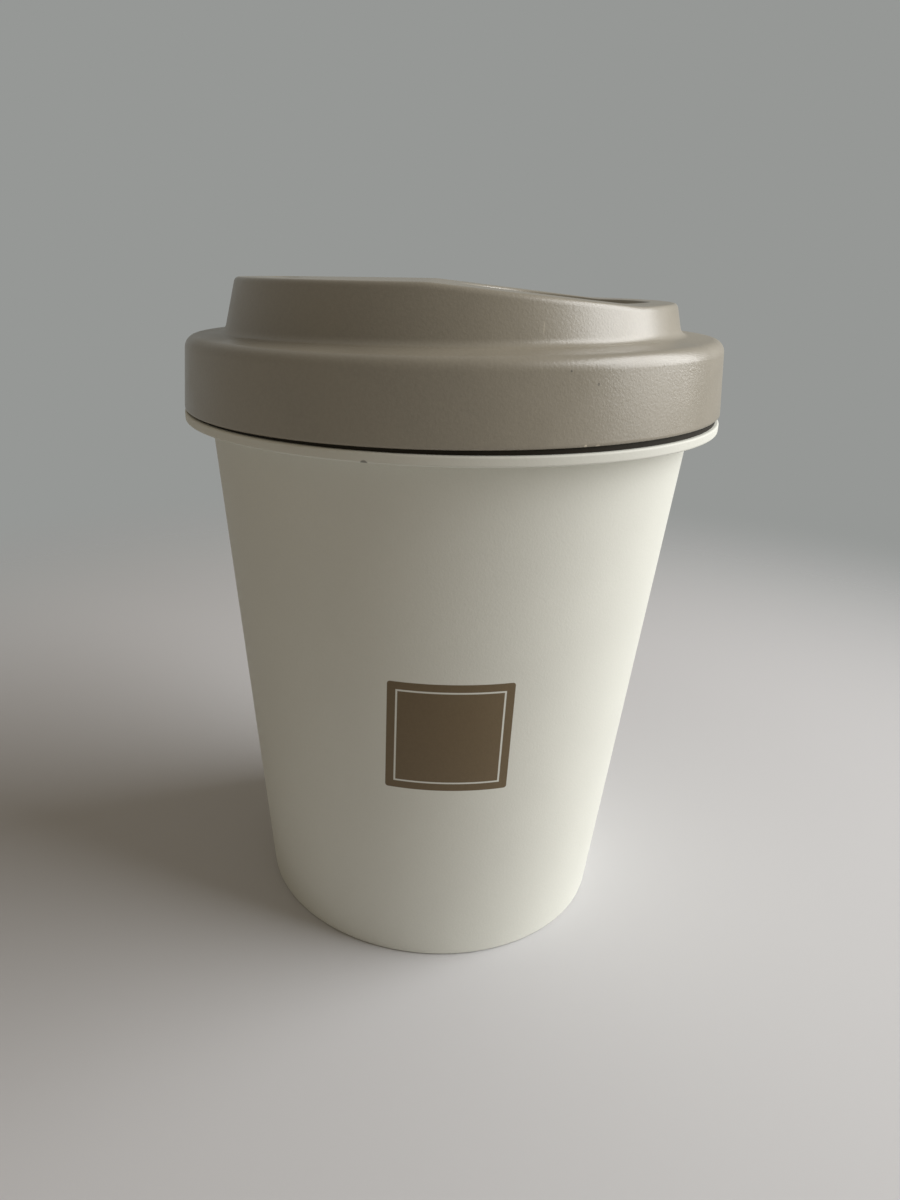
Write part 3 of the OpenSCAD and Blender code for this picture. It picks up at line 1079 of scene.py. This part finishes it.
class MUG_OT_lid_shell(Operator):
    """Builds the lid as one moulded shell with its dish, sip hole and air hole"""

    bl_idname = "mug.lid_shell"
    bl_label = "Lid shell"

    def execute(self, context):
        lid = context.scene.mug_lid
        form, shell = skinned_body("lid_shell", context.scene, lid_stations)
        cut_away(shell, lid_hollow(form))
        holes = [
            (form.sip_x, lid.sip_l, lid.sip_w, float(form.top_h(form.sip_x))),
            (form.dish_x - lid.vent_inset, lid.vent_d, lid.vent_d, lid.dish_floor_h),
        ]
        for middle_x, along, across, high_h in holes:
            low_h = high_h - lid.wall
            cut_away(shell, hole_cutter(middle_x, along, across, low_h, high_h, lid.hole_edge_r))
        finish_body(shell, form, taupe_plastic(lid), sharp_degrees=35)
        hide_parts("lid")
        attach(shell, "lid")
        return {"FINISHED"}


# Seal ring

def seal_stations(form, seal, turns):
    """Rings of corners round the seal: its band, two lips, the sleeve and the wedge of the gasket."""

    def ring(radius, height, corner_r=0.0):
        return ring_points(turns, radius, height), corner_r

    def sleeve_in_r(h):
        return form.plug_r(h) + seal.ring_fit

    back_r = form.groove_r + seal.ring_fit
    face_r = form.groove_r + seal.groove_depth
    half_h = seal.groove_h / 2 - seal.ring_fit
    low_h = form.groove_mid_h - half_h
    high_h = form.groove_mid_h + half_h
    gasket_h = -seal.gasket_gap
    gasket_r = form.skirt_r - seal.gasket_inset
    stations = [
        ring(back_r, low_h, seal.groove_edge_r),
        ring(face_r, low_h, seal.groove_edge_r),
    ]
    for side in (-1, 1):
        lip_h = form.groove_mid_h + side * seal.lip_pitch / 2
        lip_x = form.cup.mouth_r(form.lid_z + lip_h) - seal.seal_gap - seal.lip_r
        half = math.acos((face_r - lip_x) / seal.lip_r)
        end = half if side < 0 else UPPER_LIP_END
        for turn in np.linspace(-half, end, LIP_POINTS):
            stations.append(ring(lip_x + seal.lip_r * math.cos(turn), lip_h + seal.lip_r * math.sin(turn)))
    sleeve_r = sleeve_in_r(gasket_h) + seal.sleeve_t
    inner_low_h = form.flange_h(sleeve_r * np.cos(turns), seal.gasket_gap)
    outer_low_h = form.flange_h(gasket_r * np.cos(turns), seal.gasket_gap)
    stations += [
        ring(sleeve_in_r(inner_low_h) + seal.sleeve_t, inner_low_h),
        ring(gasket_r, outer_low_h, seal.gasket_edge_r),
        ring(gasket_r, gasket_h, seal.gasket_edge_r),
        ring(sleeve_in_r(gasket_h), gasket_h),
        ring(sleeve_in_r(high_h), high_h),
        ring(back_r, high_h, seal.groove_edge_r),
    ]
    return stations


class MUG_OT_seal_ring_skin(Operator):
    """Builds the soft ring that seals the lid in the mouth and on the flange"""

    bl_idname = "mug.seal_ring_skin"
    bl_label = "Seal ring skin"

    def execute(self, context):
        form, skin = skinned_body("seal_ring_skin", context.scene, seal_stations, closed=True)
        finish_body(skin, form, dark_rubber(context.scene.mug_seal), sharp_degrees=40)
        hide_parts("seal_ring")
        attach(skin, "seal")
        return {"FINISHED"}


# Stage

def add_floor(stage):
    """A round pale floor that fades into the background with distance."""
    turns = full_turn(count=128)
    rows = [ring_points(turns, radius, -FLOOR_DROP) for radius in (0.0, stage.floor_r)]
    floor = body_from_rows("floor", rows)
    material, tree, shader, position = new_material("pale_floor")
    shader["Base Color"].default_value = shaded(stage.floor, 1.0)
    shader["Roughness"].default_value = 0.7
    far = calculate_vector(tree, "LENGTH", position, output="Value")
    faded = remap(tree, far, stage.fade_start, stage.fade_end)
    clear = new_node(tree, "ShaderNodeBsdfTransparent", {})["BSDF"]
    solid = tree.nodes["Principled BSDF"].outputs["BSDF"]
    blend = new_node(tree, "ShaderNodeMixShader", {0: faded, 1: solid, 2: clear})
    join(tree, (blend["Shader"], tree.nodes["Material Output"].inputs["Surface"]))
    floor.data.materials.append(material)


def add_background(stage):
    """Even light all round, with a plain colour where the camera and reflections look."""
    world = bpy.data.worlds.new("studio")
    bpy.context.scene.world = world
    world.use_nodes = True
    tree = world.node_tree
    light = tree.nodes["Background"]
    light.inputs["Color"].default_value = shaded(stage.fill_tint, 1.0)
    light.inputs["Strength"].default_value = stage.fill
    backdrop = new_node(tree, "ShaderNodeBackground", {"Color": shaded(stage.background, 1.0)})
    rays = new_node(tree, "ShaderNodeLightPath", {})
    seen = calculate(tree, "MAXIMUM", rays["Is Camera Ray"], rays["Is Transmission Ray"])
    seen = calculate(tree, "MAXIMUM", seen, rays["Is Glossy Ray"])
    shaders = {0: seen, 1: light.outputs["Background"], 2: backdrop["Background"]}
    blend = new_node(tree, "ShaderNodeMixShader", shaders)
    join(tree, (blend["Shader"], tree.nodes["World Output"].inputs["Surface"]))


def add_lamp(stage):
    """The square soft lamp, turned towards the mug's middle."""
    data = bpy.data.lights.new("window_lamp", "AREA")
    data.size = stage.key_size
    data.energy = stage.key
    lamp = add_object("window_lamp", data)
    middle = (CAD_BOX[0] + CAD_BOX[1]) / 2
    way = Vector(round_the_mug(math.degrees(stage.key_turn), 1.0, math.tan(stage.key_rise))).normalized()
    look = (-way).to_track_quat("-Z", "Y").to_matrix().to_4x4()
    lamp.matrix_world = Matrix.Translation(middle + stage.key_far * way) @ look


def add_camera():
    """Camera at the photograph's place, with the photograph's view."""
    data = bpy.data.cameras.new("photo_camera")
    data.sensor_width = CAMERA_SENSOR_W
    data.lens = CAMERA_LENS
    data.shift_x = CAMERA_SHIFT_X
    data.clip_start = 0.01
    camera = add_object("photo_camera", data)
    turn = Matrix.Rotation(math.radians(CAMERA_TURN), 4, "Z")
    pitch = Matrix.Rotation(math.radians(90 - CAMERA_DOWN), 4, "X")
    roll = Matrix.Rotation(math.radians(CAMERA_ROLL), 4, "Z")
    camera.matrix_world = Matrix.Translation(CAMERA_PLACE) @ turn @ pitch @ roll
    bpy.context.scene.camera = camera


class MUG_OT_stage(Operator):
    """Adds the floor, the background, the soft light and the camera"""

    bl_idname = "mug.stage"
    bl_label = "Stage"

    def execute(self, context):
        stage = context.scene.mug_stage
        context.scene.view_settings.view_transform = "Standard"
        add_floor(stage)
        add_background(stage)
        add_lamp(stage)
        add_camera()
        return {"FINISHED"}


# Sidebar

class MUG_PT_sidebar(Panel):
    """Lists the mug's settings and the operators that build it"""

    bl_idname = "MUG_PT_sidebar"
    bl_label = "Mug"
    bl_space_type = "VIEW_3D"
    bl_region_type = "UI"
    bl_category = "Mug"

    def draw(self, context):
        for operator, group in BUILD_ORDER:
            box = self.layout.box()
            box.operator(operator.bl_idname)
            settings = getattr(context.scene, group)
            for name in settings.__annotations__:
                box.prop(settings, name)


SETTINGS = {
    "mug_cup": MugCupSettings,
    "mug_lid": MugLidSettings,
    "mug_seal": MugSealSettings,
    "mug_stage": MugStageSettings,
}
BUILD_ORDER = [
    (MUG_OT_cup_shell, "mug_cup"),
    (MUG_OT_lid_shell, "mug_lid"),
    (MUG_OT_seal_ring_skin, "mug_seal"),
    (MUG_OT_stage, "mug_stage"),
]


def register():
    """Registers the settings, the operators and the panel."""
    for name, group in SETTINGS.items():
        bpy.utils.register_class(group)
        setattr(bpy.types.Scene, name, PointerProperty(type=group))
    for operator, _ in BUILD_ORDER:
        bpy.utils.register_class(operator)
    bpy.utils.register_class(MUG_PT_sidebar)


def unregister():
    """Takes away what register added."""
    bpy.utils.unregister_class(MUG_PT_sidebar)
    for operator, _ in reversed(BUILD_ORDER):
        bpy.utils.unregister_class(operator)
    for name, group in SETTINGS.items():
        delattr(bpy.types.Scene, name)
        bpy.utils.unregister_class(group)


def main():
    """Builds the mug and its stage."""
    register()
    bpy.ops.mug.cup_shell()
    bpy.ops.mug.lid_shell()
    bpy.ops.mug.seal_ring_skin()
    bpy.ops.mug.stage()


if __name__ == "__main__":
    main()
